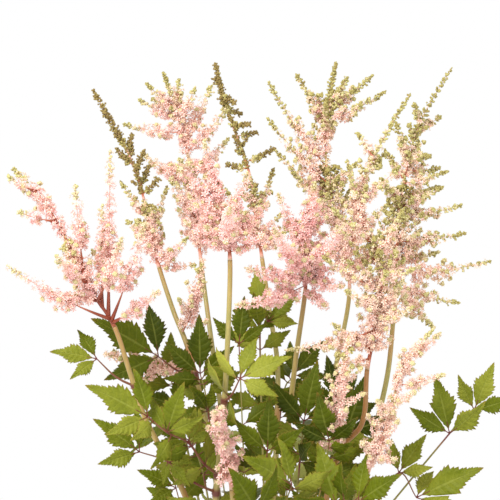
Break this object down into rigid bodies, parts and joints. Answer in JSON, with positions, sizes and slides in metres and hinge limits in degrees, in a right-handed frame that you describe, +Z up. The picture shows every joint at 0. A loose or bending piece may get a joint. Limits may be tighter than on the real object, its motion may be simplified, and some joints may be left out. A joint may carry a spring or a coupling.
{
  "type": "astilbe plant",
  "caption": "Flowering astilbe with feathery pale pink panicles on tall stalks over toothed compound leaves, in a plain dark nursery pot.",
  "frame": {"origin": "centre of the pot's underside, on the surface that it stands on", "axes": "+Z up the plant, +X to the right and -Y to the front, the side that most of the leaves face"},
  "size_m": [0.4962, 0.4964, 0.7152],
  "materials": {
    "stalk": "smooth yellow-green to tan herbaceous stem, reddish at its joints, fine hairs",
    "plume": "small pale pink to peach florets, olive buds at the tips, red-brown twigs",
    "buds": "tight olive-brown buds on reddish twigs",
    "leaf": "satin mid-green blade with sunken veins, paler underneath, red-brown petiole",
    "pot": "dark injection-moulded plastic, fine satin",
    "soil": "dark crumbly peat compost"
  },
  "bodies": {
    "root": {"pot": "pot", "soil": "soil", "stalk_a": "stalk", "stalk_b": "stalk", "stalk_c": "stalk", "stalk_d": "stalk", "stalk_e": "stalk", "stalk_f": "stalk", "stalk_g": "stalk", "stalk_h": "stalk", "stalk_k": "stalk", "stalk_j": "stalk", "stalk_l": "stalk", "plume_a": "plume", "plume_b": "plume", "plume_c": "plume", "plume_d": "plume", "plume_e": "plume", "plume_f": "plume", "plume_g": "plume", "plume_h": "plume", "plume_k": "plume", "plume_j": "plume", "plume_l": "plume", "plume_m": "plume", "plume_n": "plume", "plume_p": "plume", "buds_b": "buds", "buds_d": "buds", "leaf_01": "leaf", "leaf_02": "leaf", "leaf_03": "leaf", "leaf_04": "leaf", "leaf_05": "leaf", "leaf_06": "leaf", "leaf_07": "leaf", "leaf_08": "leaf", "leaf_09": "leaf", "leaf_10": "leaf", "leaf_11": "leaf", "leaf_12": "leaf", "leaf_13": "leaf", "leaf_14": "leaf", "leaf_15": "leaf", "leaf_16": "leaf", "leaf_17": "leaf", "leaf_18": "leaf", "leaf_19": "leaf", "leaf_20": "leaf", "leaf_21": "leaf", "leaf_22": "leaf", "leaf_23": "leaf", "leaf_24": "leaf", "leaf_25": "leaf", "leaf_26": "leaf", "leaf_27": "leaf", "leaf_28": "leaf", "leaf_29": "leaf", "leaf_30": "leaf", "leaf_31": "leaf"}
  },
  "joints": []
}
